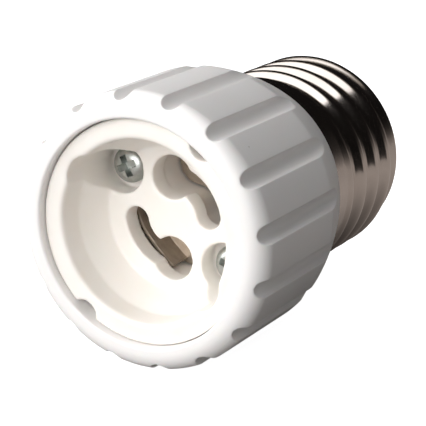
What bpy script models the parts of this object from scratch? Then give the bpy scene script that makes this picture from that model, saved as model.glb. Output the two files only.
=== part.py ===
"""Lamp socket adapter: a screw cap at one end and a ceramic twist-lock lamp socket at the other.

The adapter lies with its axis along +Y. The mouth that takes the lamp faces -Y and the screw cap points
to +Y. The world origin is on the axis, at the shoulder where the screw cap leaves the housing.

Each piece is drawn in millimetres in the adapter's own coordinates: local Z is the depth behind the rim of
the mouth, and a bearing is an angle in degrees, clockwise from the top as seen from the mouth. The empty
adapter_axis turns every piece onto the world's Y axis.
"""

import math

import bmesh
import bpy

MM = 0.001

# Clearance between pieces that touch
GAP = 0.3

# Ceramic insert: it fills the sleeve's bore, and its cup is as deep as the chambers behind it leave room for
CERAMIC_LENGTH = 15.0
CERAMIC_RECESS = 1.0
CERAMIC_EDGE = 0.5
CERAMIC_RIM = 2.3
CUP_DRAFT = 0.15
CUP_BAND_WIDTH = 1.95
CUP_BAND_HEIGHT = 3.6
CUP_FLOOR = 2.7
NOTCH_RADIUS = 1.8
NOTCH_DEPTH = 0.95
NOTCH_BEARING = 36.0

# Keyholes for the lamp's two headed pins
PIN_PITCH_RADIUS = 5.0
PIN_HEAD_RADIUS = 2.5
PIN_NECK_RADIUS = 1.4
PIN_PLAY = 0.18
TWIST_ANGLE = 79.5
CHAMBER_LENGTH = 5.5
CHAMBER_PLAY = 0.6
CHAMBER_ANGLE = 72.0

# Mounting screws, in wells beside the cup
SCREW_BEARING = 125.7
SCREW_RADIUS = 1.4
SCREW_HEAD_RADIUS = 2.25
SCREW_HEAD_HEIGHT = 1.7
SCREW_GRIP = 4.2
SCREW_POINT = 0.9
CROSS_WIDTH = 1.0
CROSS_LENGTH = 3.1
CROSS_DEPTH = 1.0
WELL_RADIUS = 3.1
WELL_RIM = 1.46
WELL_FLOOR = 5.0
BOSS_WALL = 1.6

# Housing
SLEEVE_RADIUS = 16.65
SLEEVE_WALL = 3.05
SLEEVE_LENGTH = 16.9
TAPER_LENGTH = 8.17
TAPER_CROWN = 0.25
SHOULDER_STEP = 0.5
RIM_ROUND = 2.2
RIM_CHAMFER = 0.25
LEDGE_WIDTH = 2.4
CAVITY_LENGTH = 6.2
NECK_WALL = 2.0
FLUTES = 16
FLUTE_RADIUS = 1.2
FLUTE_DEPTH = 1.0
FLUTE_BEARING = 14.3

# Rolled screw cap
CREST_RADIUS = 13.1
THREAD_HEIGHT = 0.95
PLAIN_INSET = 0.6
PITCH = 3.62
PLAIN_LENGTH = 3.9
THREAD_LENGTH = 15.3
THREAD_RUN_IN = 1.8
CREST_LEAD = 5.7
CAP_SHEET = 0.35
CAP_SEAT_DEPTH = 0.6
CAP_LIP = 3.0
CAP_CORNER = 1.1

# Insulated tip and its contact
TIP_FLANGE = 1.2
TIP_HEIGHT = 3.6
TIP_TOP_RADIUS = 5.4
TIP_EDGE = 0.4
TIP_BORE_RADIUS = 1.0
CONTACT_RADIUS = 4.6
CONTACT_THICKNESS = 1.3
CONTACT_EDGE = 0.5
SOLDER_RADIUS = 1.9
SOLDER_HEIGHT = 0.6

# Pin contacts and their backing plate. A band's rest shape is a list of stations: the bearing past the
# keyhole's entry, and how far inside the chamber's outer wall the band lies there. None is as far as a pin's neck.
CLIP_BAND = ((14.0, 0.75), (28.0, 1.35), (48.0, None), (70.0, 1.45), (90.0, 1.15))
SPRING_LEAF = ((27.0, 0.5), (49.0, 0.95), (71.0, 0.5))
CLIP_SHEET = 0.4
CLIP_HEIGHT = 3.7
CLIP_FOOT_ANGLE = 30.0
CLIP_TAIL_BEARING = 8.0
CLIP_TAIL_WIDTH = 2.6
CLIP_TAIL_LENGTH = 4.0
CRIMP_LENGTH = 2.4
CRIMP_WALL = 0.35
CRIMP_MOUTH = 35.0
SPRING_SHEET = 0.3
SPRING_HEIGHT = 2.4
SPRING_INSET = 0.5
PLATE_THICKNESS = 1.0

# Internal leads
CORE_RADIUS = 0.45
LEAD_RADIUS = 1.15
LEAD_STEP = 1.2
BARE_END = 3.0
SLOT_BEARING = 216.0
SLOT_WIDTH = 2.4
BEAD_RADIUS = 0.55

# Fineness of round forms
HOUSING_SEGMENTS = 64
INSERT_SEGMENTS = 48
THREAD_SEGMENTS = 36
THREAD_ROWS = 6
SMALL_SEGMENTS = 16

# Depths and radii that follow from the sizes above
BORE_RADIUS = SLEEVE_RADIUS - SLEEVE_WALL
CERAMIC_RADIUS = BORE_RADIUS - GAP
CUP_RADIUS = CERAMIC_RADIUS - CERAMIC_RIM
CERAMIC_BACK = CERAMIC_RECESS + CERAMIC_LENGTH
CHAMBER_DEPTH = CERAMIC_BACK - CHAMBER_LENGTH
CUP_FLOOR_DEPTH = CHAMBER_DEPTH - CUP_FLOOR
ENTRY_RADIUS = PIN_HEAD_RADIUS + PIN_PLAY
CHAMBER_WALL = PIN_PITCH_RADIUS + PIN_HEAD_RADIUS + CHAMBER_PLAY
CHAMBER_RADIUS = (CHAMBER_WALL + PIN_PITCH_RADIUS - ENTRY_RADIUS) / 2
CHAMBER_HALF_WIDTH = CHAMBER_WALL - CHAMBER_RADIUS
LEDGE_DEPTH = CERAMIC_BACK + GAP
CAVITY_RADIUS = BORE_RADIUS - LEDGE_WIDTH
PLATE_FRONT = CERAMIC_BACK + GAP
PLATE_BACK = PLATE_FRONT + PLATE_THICKNESS
BOSS_START = PLATE_BACK + GAP
CAVITY_END = LEDGE_DEPTH + CAVITY_LENGTH
SCREW_SEAT = CERAMIC_BACK - WELL_FLOOR
SCREW_PITCH_RADIUS = CERAMIC_RADIUS - WELL_RIM - WELL_RADIUS
SCREW_HOLE_RADIUS = SCREW_RADIUS + GAP
SCREW_TIP = BOSS_START + SCREW_GRIP
SHOULDER_DEPTH = SLEEVE_LENGTH + TAPER_LENGTH
SHOULDER_RADIUS = CREST_RADIUS + SHOULDER_STEP
ROOT_RADIUS = CREST_RADIUS - THREAD_HEIGHT
PLAIN_RADIUS = CREST_RADIUS - PLAIN_INSET
CAP_SEAT = SHOULDER_DEPTH - CAP_SEAT_DEPTH
CAP_SEAT_RADIUS = PLAIN_RADIUS + GAP
CAP_START = CAP_SEAT + GAP
THREAD_START = SHOULDER_DEPTH + PLAIN_LENGTH
CAP_END = THREAD_START + THREAD_LENGTH
CORNER_START = CAP_END - CAP_CORNER
LIP_RADIUS = CREST_RADIUS - CAP_LIP
NECK_RADIUS = ROOT_RADIUS - CAP_SHEET - GAP
NECK_BORE_RADIUS = NECK_RADIUS - NECK_WALL
TIP_FRONT = CAP_END - CAP_SHEET - GAP - TIP_FLANGE
NECK_END = TIP_FRONT - GAP
TIP_TOP = CAP_END + TIP_HEIGHT
CONTACT_FRONT = TIP_TOP + GAP
CONTACT_TOP = CONTACT_FRONT + CONTACT_THICKNESS
CONTACT_HOLE_RADIUS = SOLDER_RADIUS + GAP
CLIP_FRONT = CHAMBER_DEPTH + GAP
CLIP_BACK = CLIP_FRONT + CLIP_HEIGHT
CLIP_TAIL_END = PLATE_BACK + CLIP_TAIL_LENGTH
CRIMP_BORE = CORE_RADIUS + GAP
CRIMP_RADIUS = CRIMP_BORE + CRIMP_WALL
CRIMP_PITCH_RADIUS = PIN_PITCH_RADIUS - CLIP_SHEET / 2 - CRIMP_BORE


def polar(radius, bearing):
    """Local x and y of a point at a bearing."""
    angle = math.radians(bearing - 90.0)
    return radius * math.cos(angle), radius * math.sin(angle)


def material(name, colour, roughness, metallic=0.0):
    """A Principled material with a plain colour."""
    result = bpy.data.materials.new(name)
    result.use_nodes = True
    shader = result.node_tree.nodes["Principled BSDF"]
    shader.inputs["Base Color"].default_value = (*colour, 1.0)
    shader.inputs["Roughness"].default_value = roughness
    shader.inputs["Metallic"].default_value = metallic
    return result


def add_object(name, form, finish=None):
    """Put a form, a bmesh drawn in millimetres, on the adapter's axis."""
    bmesh.ops.scale(form, vec=(MM, MM, MM), verts=form.verts)
    bmesh.ops.recalc_face_normals(form, faces=form.faces)
    mesh = bpy.data.meshes.new(name)
    form.to_mesh(mesh)
    form.free()
    mesh.shade_smooth()
    mesh.set_sharp_from_angle(angle=math.radians(35.0))
    if finish is not None:
        mesh.materials.append(finish)
    result = bpy.data.objects.new(name, mesh)
    bpy.context.scene.collection.objects.link(result)
    result.parent = bpy.data.objects["adapter_axis"]
    return result


def apply_tool(target, operation, name, form):
    """Cut a form from a piece, or join it on. The tool itself stays hidden."""
    tool = add_object(name, form)
    tool.hide_render = True
    tool.display_type = "WIRE"
    step = target.modifiers.new(name, "BOOLEAN")
    step.operation = operation
    step.solver = "EXACT"
    step.object = tool
    return tool


def lathe(profile, segments, shift=None):
    """Turn a closed profile of (radius, depth) points about the axis.

    A point on the axis becomes one vertex. shift(depth, angle) is added to the radius."""
    form = bmesh.new()
    rings = []
    for radius, depth in profile:
        if radius == 0.0:
            rings.append([form.verts.new((0.0, 0.0, depth))] * segments)
            continue
        ring = []
        for step in range(segments):
            angle = 2.0 * math.pi * step / segments
            reach = radius + (shift(depth, angle) if shift else 0.0)
            ring.append(form.verts.new((reach * math.cos(angle), reach * math.sin(angle), depth)))
        rings.append(ring)
    for index, ring in enumerate(rings):
        following = rings[(index + 1) % len(rings)]
        for step in range(segments):
            after = (step + 1) % segments
            corners = [ring[step], ring[after], following[after], following[step]]
            corners = list(dict.fromkeys(corners))
            if len(corners) > 2:
                form.faces.new(corners)
    return form


def prism(outline, low, high):
    """Extrude a closed outline of (x, y) points from one depth to another."""
    form = bmesh.new()
    base = form.faces.new([form.verts.new((x, y, low)) for x, y in outline])
    grown = bmesh.ops.extrude_face_region(form, geom=[base])
    moved = [item for item in grown["geom"] if isinstance(item, bmesh.types.BMVert)]
    bmesh.ops.translate(form, vec=(0.0, 0.0, high - low), verts=moved)
    return form


def joined(forms):
    """Several separate forms as one."""
    result = bmesh.new()
    for form in forms:
        mesh = bpy.data.meshes.new("form")
        form.to_mesh(mesh)
        form.free()
        result.from_mesh(mesh)
        bpy.data.meshes.remove(mesh)
    return result


def arc(centre, radius, start, end, steps):
    """Points on an arc about a centre, from one angle to another. radius is one number or two."""
    across, along = radius if isinstance(radius, tuple) else (radius, radius)
    points = []
    for step in range(steps + 1):
        angle = math.radians(start + (end - start) * step / steps)
        points.append((centre[0] + across * math.cos(angle), centre[1] + along * math.sin(angle)))
    return points


def disc(centre, radius, segments=SMALL_SEGMENTS):
    """Outline of a circle."""
    return arc(centre, radius, 0.0, 360.0, segments)[:-1]


def curved_slot(radius, half_width, start, end, steps=8):
    """Outline of a slot with round ends, which bends round the axis from one bearing to another."""
    outer = arc((0.0, 0.0), radius + half_width, start - 90.0, end - 90.0, steps)
    far = arc(polar(radius, end), half_width, end - 90.0, end + 90.0, steps)
    inner = arc((0.0, 0.0), radius - half_width, end - 90.0, start - 90.0, steps)
    near = arc(polar(radius, start), half_width, start + 90.0, start + 270.0, steps)
    return outer + far[1:-1] + inner + near[1:-1]


def bar(radius, bearing, depth, width):
    """Outline of a rectangle on a bearing: depth is its size along the radius, width across it."""
    middle = polar(radius, bearing)
    out = polar(depth / 2, bearing)
    side = polar(width / 2, bearing + 90.0)
    return [
        (middle[0] + a * out[0] + b * side[0], middle[1] + a * out[1] + b * side[1])
        for a, b in ((1, 1), (1, -1), (-1, -1), (-1, 1))
    ]


def cross(length, width):
    """Outline of a plus sign."""
    long, short = length / 2, width / 2
    corner = [(long, short), (short, short), (short, long)]
    outline = []
    for _ in range(4):
        outline += corner
        corner = [(-y, x) for x, y in corner]
    return outline


def strip(path, thickness):
    """Outline of a strip of sheet seen on edge, along a path of (radius, bearing) points."""
    points = [polar(radius, bearing) for radius, bearing in path]
    left, right = [], []
    for index, (x, y) in enumerate(points):
        before = points[max(index - 1, 0)]
        after = points[min(index + 1, len(points) - 1)]
        run = (after[0] - before[0], after[1] - before[1])
        half = thickness / 2 / math.hypot(*run)
        left.append((x - run[1] * half, y + run[0] * half))
        right.append((x + run[1] * half, y - run[0] * half))
    return left + right[::-1]


def smooth_path(points, steps):
    """Points on a smooth curve through a few chosen points, of two or three numbers each."""
    first = [2 * a - b for a, b in zip(points[0], points[1])]
    last = [2 * a - b for a, b in zip(points[-1], points[-2])]
    chain = [first, *points, last]
    result = []
    for before, here, there, after in zip(chain, chain[1:], chain[2:], chain[3:]):
        for step in range(steps):
            t = step / steps
            result.append([
                h + 0.5 * t * (e - b + t * (2 * b - 5 * h + 4 * e - a + t * (3 * (h - e) + a - b)))
                for b, h, e, a in zip(before, here, there, after)
            ])
    result.append(list(points[-1]))
    return result


def build_housing(finish):
    """Moulded sleeve with flutes round it, a shoulder, and a hollow neck that carries the screw cap."""
    throat_end = CAVITY_END + abs(CAVITY_RADIUS - NECK_BORE_RADIUS)
    taper_middle = (SLEEVE_RADIUS + SHOULDER_RADIUS) / 2 + TAPER_CROWN
    profile = [(BORE_RADIUS, RIM_CHAMFER), (BORE_RADIUS + RIM_CHAMFER, 0.0)]
    profile += arc((SLEEVE_RADIUS - RIM_ROUND, RIM_ROUND), RIM_ROUND, -90.0, 0.0, 6)
    profile += [
        (SLEEVE_RADIUS, SLEEVE_LENGTH),
        (taper_middle, SLEEVE_LENGTH + TAPER_LENGTH / 2),
        (SHOULDER_RADIUS, SHOULDER_DEPTH),
        (CAP_SEAT_RADIUS, SHOULDER_DEPTH),
        (CAP_SEAT_RADIUS, CAP_SEAT),
        (NECK_RADIUS, CAP_SEAT),
        (NECK_RADIUS, NECK_END),
        (NECK_BORE_RADIUS, NECK_END),
        (NECK_BORE_RADIUS, throat_end),
        (CAVITY_RADIUS, CAVITY_END),
        (CAVITY_RADIUS, LEDGE_DEPTH),
        (BORE_RADIUS, LEDGE_DEPTH),
    ]
    housing = add_object("housing", lathe(profile, HOUSING_SEGMENTS), finish)

    boss_radius = SCREW_HOLE_RADIUS + BOSS_WALL
    screw_spots = [polar(SCREW_PITCH_RADIUS, SCREW_BEARING + turn) for turn in (0.0, 180.0)]
    bosses = [prism(disc(spot, boss_radius), BOSS_START, CAVITY_END + 0.5) for spot in screw_spots]
    apply_tool(housing, "UNION", "boss_tool", joined(bosses))

    flute_pitch_radius = SLEEVE_RADIUS - FLUTE_DEPTH + FLUTE_RADIUS
    flutes = []
    for index in range(FLUTES):
        spot = polar(flute_pitch_radius, FLUTE_BEARING + index * 360.0 / FLUTES)
        flutes.append(prism(disc(spot, FLUTE_RADIUS), -1.0, SHOULDER_DEPTH))
    apply_tool(housing, "DIFFERENCE", "flute_tool", joined(flutes))

    pilot_end = SCREW_TIP + GAP
    pilots = [prism(disc(spot, SCREW_HOLE_RADIUS), BOSS_START - 1.0, pilot_end) for spot in screw_spots]
    slot = bar((NECK_RADIUS + NECK_BORE_RADIUS) / 2, SLOT_BEARING, NECK_WALL + 1.0, SLOT_WIDTH)
    pilots.append(prism(slot, NECK_END - SLOT_WIDTH, NECK_END + 1.0))
    apply_tool(housing, "DIFFERENCE", "pilot_tool", joined(pilots))


def build_ceramic_insert(finish):
    """Dished ceramic block with two keyholes, a pin chamber behind each, and two screw wells."""
    profile = [(0.0, CUP_FLOOR_DEPTH)]
    wall_foot = CUP_RADIUS - CUP_DRAFT
    profile += [(wall_foot - CUP_BAND_WIDTH, CUP_FLOOR_DEPTH), (wall_foot, CUP_FLOOR_DEPTH - CUP_BAND_HEIGHT)]
    edge_depth = CERAMIC_RECESS + CERAMIC_EDGE
    profile += arc((CUP_RADIUS + CERAMIC_EDGE, edge_depth), CERAMIC_EDGE, 180.0, 270.0, 3)
    profile += arc((CERAMIC_RADIUS - CERAMIC_EDGE, edge_depth), CERAMIC_EDGE, -90.0, 0.0, 3)
    profile += [(CERAMIC_RADIUS, CERAMIC_BACK), (0.0, CERAMIC_BACK)]
    insert = add_object("ceramic_insert", lathe(profile, INSERT_SEGMENTS), finish)

    slot_half_width = PIN_NECK_RADIUS + PIN_PLAY
    above_floor = CUP_FLOOR_DEPTH - 1.0
    round_cuts, slot_cuts, chamber_cuts = [], [], []
    for turn in (0.0, 180.0):
        entry = polar(PIN_PITCH_RADIUS, turn)
        round_cuts.append(prism(disc(entry, ENTRY_RADIUS, 20), above_floor, CHAMBER_DEPTH + 0.5))
        well = polar(SCREW_PITCH_RADIUS, SCREW_BEARING + turn)
        round_cuts.append(prism(disc(well, WELL_RADIUS, 24), 0.0, SCREW_SEAT))
        notch = polar(CERAMIC_RADIUS - NOTCH_DEPTH + NOTCH_RADIUS, NOTCH_BEARING + turn)
        round_cuts.append(prism(disc(notch, NOTCH_RADIUS, 24), 0.0, CERAMIC_BACK + 1.0))
        slot = curved_slot(PIN_PITCH_RADIUS, slot_half_width, turn, turn + TWIST_ANGLE)
        slot_cuts.append(prism(slot, above_floor, CHAMBER_DEPTH + 0.5))
        slot_cuts.append(prism(disc(well, SCREW_HOLE_RADIUS), SCREW_SEAT - 1.0, CERAMIC_BACK + 1.0))
        chamber = curved_slot(CHAMBER_RADIUS, CHAMBER_HALF_WIDTH, turn, turn + CHAMBER_ANGLE)
        chamber_cuts.append(prism(chamber, CHAMBER_DEPTH, CERAMIC_BACK + 1.0))
    apply_tool(insert, "DIFFERENCE", "round_tool", joined(round_cuts))
    apply_tool(insert, "DIFFERENCE", "slot_tool", joined(slot_cuts))
    apply_tool(insert, "DIFFERENCE", "chamber_tool", joined(chamber_cuts))


def build_backing_plate(finish):
    """Insulating disc that shuts the pin chambers, clamped by the mounting screws."""
    outline = disc((0.0, 0.0), CAVITY_RADIUS - 2 * GAP, INSERT_SEGMENTS)
    plate = add_object("backing_plate", prism(outline, PLATE_FRONT, PLATE_BACK), finish)
    holes = []
    for turn in (0.0, 180.0):
        spot = polar(SCREW_PITCH_RADIUS, SCREW_BEARING + turn)
        holes.append(prism(disc(spot, SCREW_HOLE_RADIUS), PLATE_FRONT - 1.0, PLATE_BACK + 1.0))
        tail_slot = bar(
            PIN_PITCH_RADIUS, turn + CLIP_TAIL_BEARING, CLIP_SHEET + 2 * GAP, CLIP_TAIL_WIDTH + 2 * GAP
        )
        holes.append(prism(tail_slot, PLATE_FRONT - 1.0, PLATE_BACK + 1.0))
    apply_tool(plate, "DIFFERENCE", "plate_tool", joined(holes))


def build_contact_clip(name, turn, finish):
    """Bent strip contact: a springy band along the chamber, a foot behind the entry and a crimped tail."""
    to_neck = CHAMBER_WALL - PIN_PITCH_RADIUS - PIN_NECK_RADIUS
    stations = [
        (CHAMBER_WALL - (to_neck if inset is None else inset), turn + bearing) for bearing, inset in CLIP_BAND
    ]
    path = smooth_path(stations, 4)
    clip = add_object(name, prism(strip(path, CLIP_SHEET), CLIP_FRONT, CLIP_BACK), finish)

    foot = curved_slot(CHAMBER_RADIUS, CHAMBER_HALF_WIDTH - GAP, turn, turn + CLIP_FOOT_ANGLE, 6)
    apply_tool(clip, "UNION", name + "_foot_tool", prism(foot, CLIP_BACK - CLIP_SHEET, CLIP_BACK + 0.01))

    bearing = turn + CLIP_TAIL_BEARING
    tail = bar(PIN_PITCH_RADIUS, bearing, CLIP_SHEET, CLIP_TAIL_WIDTH)
    tail_tool = prism(tail, CLIP_BACK - CLIP_SHEET / 2, CLIP_TAIL_END)
    apply_tool(clip, "UNION", name + "_tail_tool", tail_tool)

    spot = polar(CRIMP_PITCH_RADIUS, bearing)
    opening = bearing + 90.0
    start, end = opening + CRIMP_MOUTH, opening + 360.0 - CRIMP_MOUTH
    crimp = arc(spot, CRIMP_RADIUS, start, end, 12) + arc(spot, CRIMP_BORE, end, start, 12)
    crimp_tool = prism(crimp, CLIP_TAIL_END - CRIMP_LENGTH, CLIP_TAIL_END - 0.05)
    apply_tool(clip, "UNION", name + "_crimp_tool", crimp_tool)


def build_clip_spring(name, turn, finish):
    """Leaf of spring steel that backs the band of a contact clip."""
    path = smooth_path([(CHAMBER_WALL - inset, turn + bearing) for bearing, inset in SPRING_LEAF], 5)
    start = CLIP_FRONT + SPRING_INSET
    add_object(name, prism(strip(path, SPRING_SHEET), start, start + SPRING_HEIGHT), finish)


def build_mounting_screw(name, turn, finish):
    """Pan-head screw with a cross recess."""
    seat = SCREW_SEAT - GAP
    top = seat - SCREW_HEAD_HEIGHT
    crown = SCREW_HEAD_HEIGHT * 0.6
    profile = [(0.0, top)]
    profile += arc((SCREW_HEAD_RADIUS * 0.45, top + crown), (SCREW_HEAD_RADIUS * 0.55, crown), -90.0, 0.0, 4)
    profile += [
        (SCREW_HEAD_RADIUS, seat),
        (SCREW_RADIUS, seat),
        (SCREW_RADIUS, SCREW_TIP - SCREW_POINT),
        (SCREW_RADIUS * 0.4, SCREW_TIP),
        (0.0, SCREW_TIP),
    ]
    screw = add_object(name, lathe(profile, SMALL_SEGMENTS), finish)
    x, y = polar(SCREW_PITCH_RADIUS, SCREW_BEARING + turn)
    screw.location = (x * MM, y * MM, 0.0)

    recess = prism(cross(CROSS_LENGTH, CROSS_WIDTH), top - 1.0, top + CROSS_DEPTH)
    cutter = apply_tool(screw, "DIFFERENCE", name + "_cross_tool", recess)
    cutter.location = screw.location


def ease(value, low, high):
    """0 below low, 1 above high, and a smooth step between."""
    t = min(max((value - low) / (high - low), 0.0), 1.0)
    return t * t * (3.0 - 2.0 * t)


def thread_shift(depth, angle):
    """How far the rolled sheet lies inside the crest radius, at a depth and an angle round the axis."""
    turns = (depth - SHOULDER_DEPTH - CREST_LEAD) / PITCH - angle / (2.0 * math.pi)
    wave = 0.5 + 0.5 * math.cos(2.0 * math.pi * turns)
    run_in = ease(depth, THREAD_START - THREAD_RUN_IN / 2, THREAD_START + THREAD_RUN_IN / 2)
    rolled = ROOT_RADIUS + (CREST_RADIUS - ROOT_RADIUS) * wave
    radius = PLAIN_RADIUS + (rolled - PLAIN_RADIUS) * run_in
    run_out = ease(depth, CORNER_START - THREAD_RUN_IN / 2, CORNER_START)
    return (radius - CREST_RADIUS) * (1.0 - run_out)


def build_screw_cap(finish):
    """Cap of thin sheet with a rolled right-hand thread, curled inward at the end."""
    rows = int(THREAD_LENGTH / PITCH * THREAD_ROWS)
    first = THREAD_START - THREAD_RUN_IN / 2
    depths = [CAP_START] + [first + (CORNER_START - first) * row / rows for row in range(rows + 1)]
    corner_centre = (CREST_RADIUS - CAP_CORNER, CORNER_START)
    outer = [(CREST_RADIUS, depth) for depth in depths[:-1]]
    outer += arc(corner_centre, CAP_CORNER, 0.0, 90.0, 4)
    outer += [(LIP_RADIUS, CAP_END)]
    inner = [(CREST_RADIUS - CAP_SHEET, depth) for depth in depths[:-1]]
    inner += arc(corner_centre, CAP_CORNER - CAP_SHEET, 0.0, 90.0, 4)
    inner += [(LIP_RADIUS, CAP_END - CAP_SHEET)]
    add_object("screw_cap", lathe(outer + inner[::-1], THREAD_SEGMENTS, thread_shift), finish)


def build_tip(tip_finish, contact_finish, solder_finish):
    """Insulating tip under the cap's lip, the contact on it and the solder that closes the contact."""
    shoulder = LIP_RADIUS - GAP
    tip = [
        (TIP_BORE_RADIUS, TIP_FRONT),
        (NECK_RADIUS, TIP_FRONT),
        (NECK_RADIUS, TIP_FRONT + TIP_FLANGE),
        (shoulder, TIP_FRONT + TIP_FLANGE),
        (shoulder, CAP_END),
        (TIP_TOP_RADIUS + TIP_EDGE, TIP_TOP - TIP_EDGE),
        (TIP_TOP_RADIUS, TIP_TOP),
        (TIP_BORE_RADIUS, TIP_TOP),
    ]
    add_object("tip_insulator", lathe(tip, THREAD_SEGMENTS), tip_finish)

    contact = [(CONTACT_HOLE_RADIUS, CONTACT_FRONT), (CONTACT_RADIUS, CONTACT_FRONT)]
    edge_centre = (CONTACT_RADIUS - CONTACT_EDGE, CONTACT_TOP - CONTACT_EDGE)
    contact += arc(edge_centre, CONTACT_EDGE, 0.0, 90.0, 3)
    contact += [(CONTACT_HOLE_RADIUS, CONTACT_TOP)]
    add_object("centre_contact", lathe(contact, 32), contact_finish)

    solder = [(0.0, CONTACT_FRONT), (SOLDER_RADIUS, CONTACT_FRONT)]
    solder += arc((0.0, CONTACT_TOP), (SOLDER_RADIUS, SOLDER_HEIGHT), 0.0, 90.0, 4)[:-1]
    solder += [(0.0, CONTACT_TOP + SOLDER_HEIGHT)]
    add_object("tip_solder", lathe(solder, SMALL_SEGMENTS), solder_finish)


def build_lead(name, waypoints, bare_start, bare_end, finish):
    """Insulated lead with stripped ends, along a smooth route through its waypoints."""
    route = smooth_path(waypoints, 10)
    marks = [0.0]
    for here, there in zip(route, route[1:]):
        marks.append(marks[-1] + math.dist(here, there))
    strip_length = 0.1
    start, end = bare_start, marks[-1] - bare_end
    count = int((end - start) / LEAD_STEP)
    stations = [(0.0, CORE_RADIUS), (start / 2, CORE_RADIUS), (start, CORE_RADIUS)]
    span = end - start - 2 * strip_length
    stations += [(start + strip_length + span * i / count, LEAD_RADIUS) for i in range(count + 1)]
    stations += [(end, CORE_RADIUS), ((end + marks[-1]) / 2, CORE_RADIUS), (marks[-1], CORE_RADIUS)]

    curve = bpy.data.curves.new(name, "CURVE")
    curve.dimensions = "3D"
    curve.bevel_depth = MM
    curve.bevel_resolution = 2
    curve.use_fill_caps = True
    curve.materials.append(finish)
    spline = curve.splines.new("POLY")
    spline.points.add(len(stations) - 1)
    for point, (distance, radius) in zip(spline.points, stations):
        index = max(i for i, mark in enumerate(marks[:-1]) if mark <= distance)
        share = (distance - marks[index]) / (marks[index + 1] - marks[index])
        place = [a + (b - a) * share for a, b in zip(route[index], route[index + 1])]
        point.co = (place[0] * MM, place[1] * MM, place[2] * MM, 1.0)
        point.radius = radius
    lead = bpy.data.objects.new(name, curve)
    bpy.context.scene.collection.objects.link(lead)
    lead.parent = bpy.data.objects["adapter_axis"]


def build_leads(live_finish, neutral_finish, solder_finish):
    """Both leads from the clips' crimps: one to the tip contact, one through the neck's slot to the cap."""
    inside_crimp = CLIP_TAIL_END - CRIMP_LENGTH + GAP
    bare_in_crimp = CRIMP_LENGTH + GAP
    neck_middle = (CAVITY_END + NECK_END) / 2
    live_start = polar(CRIMP_PITCH_RADIUS, CLIP_TAIL_BEARING)
    waypoints = [
        (*live_start, inside_crimp),
        (*live_start, inside_crimp + bare_in_crimp + 1.0),
        (*polar(NECK_BORE_RADIUS / 3, 60.0), neck_middle),
        (0.0, 0.0, TIP_FRONT - 2.5),
        (0.0, 0.0, TIP_FRONT),
        (0.0, 0.0, CONTACT_FRONT - GAP),
    ]
    bare_in_tip = CONTACT_FRONT - TIP_FRONT
    build_lead("lead_live", waypoints, bare_in_crimp, bare_in_tip, live_finish)

    cap_inside = ROOT_RADIUS - CAP_SHEET
    bead_radius_place = cap_inside - GAP - BEAD_RADIUS
    bead_depth = NECK_END - SLOT_WIDTH / 2
    neutral_start = polar(CRIMP_PITCH_RADIUS, CLIP_TAIL_BEARING + 180.0)
    wall_side = NECK_BORE_RADIUS - LEAD_RADIUS - 1.0
    waypoints = [
        (*neutral_start, inside_crimp),
        (*neutral_start, inside_crimp + bare_in_crimp + 1.0),
        (*polar(wall_side * 0.8, SLOT_BEARING), neck_middle),
        (*polar(wall_side, SLOT_BEARING), bead_depth - 2.6),
        (*polar(wall_side + 1.4, SLOT_BEARING), bead_depth - 0.4),
        (*polar(bead_radius_place - BEAD_RADIUS - GAP, SLOT_BEARING), bead_depth),
    ]
    build_lead("lead_neutral", waypoints, bare_in_crimp, BARE_END, neutral_finish)

    half_circle = arc((0.0, bead_depth), BEAD_RADIUS, -90.0, 90.0, 6)
    profile = [(0.0, bead_depth - BEAD_RADIUS), *half_circle[1:-1], (0.0, bead_depth + BEAD_RADIUS)]
    bead = add_object("cap_solder", lathe(profile, 12), solder_finish)
    x, y = polar(bead_radius_place, SLOT_BEARING)
    bead.location = (x * MM, y * MM, 0.0)


def main():
    for item in list(bpy.data.objects):
        bpy.data.objects.remove(item)

    axis = bpy.data.objects.new("adapter_axis", None)
    bpy.context.scene.collection.objects.link(axis)
    axis.rotation_euler = (math.radians(-90.0), 0.0, 0.0)
    axis.location = (0.0, -SHOULDER_DEPTH * MM, 0.0)

    white_plastic = material("white_thermoplastic", (0.80, 0.79, 0.78), 0.35)
    ceramic = material("steatite_ceramic", (0.78, 0.74, 0.70), 0.45)
    plated_steel = material("zinc_plated_steel", (0.55, 0.58, 0.57), 0.35, 1.0)
    nickel = material("nickel_plated_brass", (0.62, 0.60, 0.57), 0.22, 1.0)
    bronze = material("nickel_plated_bronze", (0.45, 0.40, 0.34), 0.3, 1.0)
    spring_steel = material("spring_steel", (0.50, 0.49, 0.48), 0.3, 1.0)
    board = material("glass_fibre_board", (0.55, 0.50, 0.40), 0.7)
    black_plastic = material("black_thermoset", (0.03, 0.03, 0.03), 0.4)
    solder = material("tin_solder", (0.70, 0.71, 0.72), 0.35, 1.0)
    live_lead = material("silicone_brown", (0.23, 0.11, 0.06), 0.6)
    neutral_lead = material("silicone_blue", (0.05, 0.16, 0.40), 0.6)

    build_housing(white_plastic)
    build_ceramic_insert(ceramic)
    build_backing_plate(board)
    for letter, turn in (("a", 0.0), ("b", 180.0)):
        build_contact_clip("contact_clip_" + letter, turn, bronze)
        build_clip_spring("clip_spring_" + letter, turn, spring_steel)
        build_mounting_screw("mounting_screw_" + letter, turn, plated_steel)
    build_screw_cap(nickel)
    build_tip(black_plastic, nickel, solder)
    build_leads(live_lead, neutral_lead, solder)


main()
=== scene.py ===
# %% [markdown]
# # A lamp socket adapter, lit and dressed
#
# The real object screws into a lamp holder for a 27 mm screw cap and takes a small reflector lamp with two
# headed pins. A white moulded housing holds a dished ceramic insert at one end and a thin rolled metal cap
# at the other.
#
# The construction is already there as a frame of plain solids. This lesson gives each of them its finish:
# fine surfaces where the plain solid is too coarse, and a material that follows what the piece is made of.

# %% Load the frame
import math

import bmesh
import bpy
from mathutils import Matrix, Vector


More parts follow.
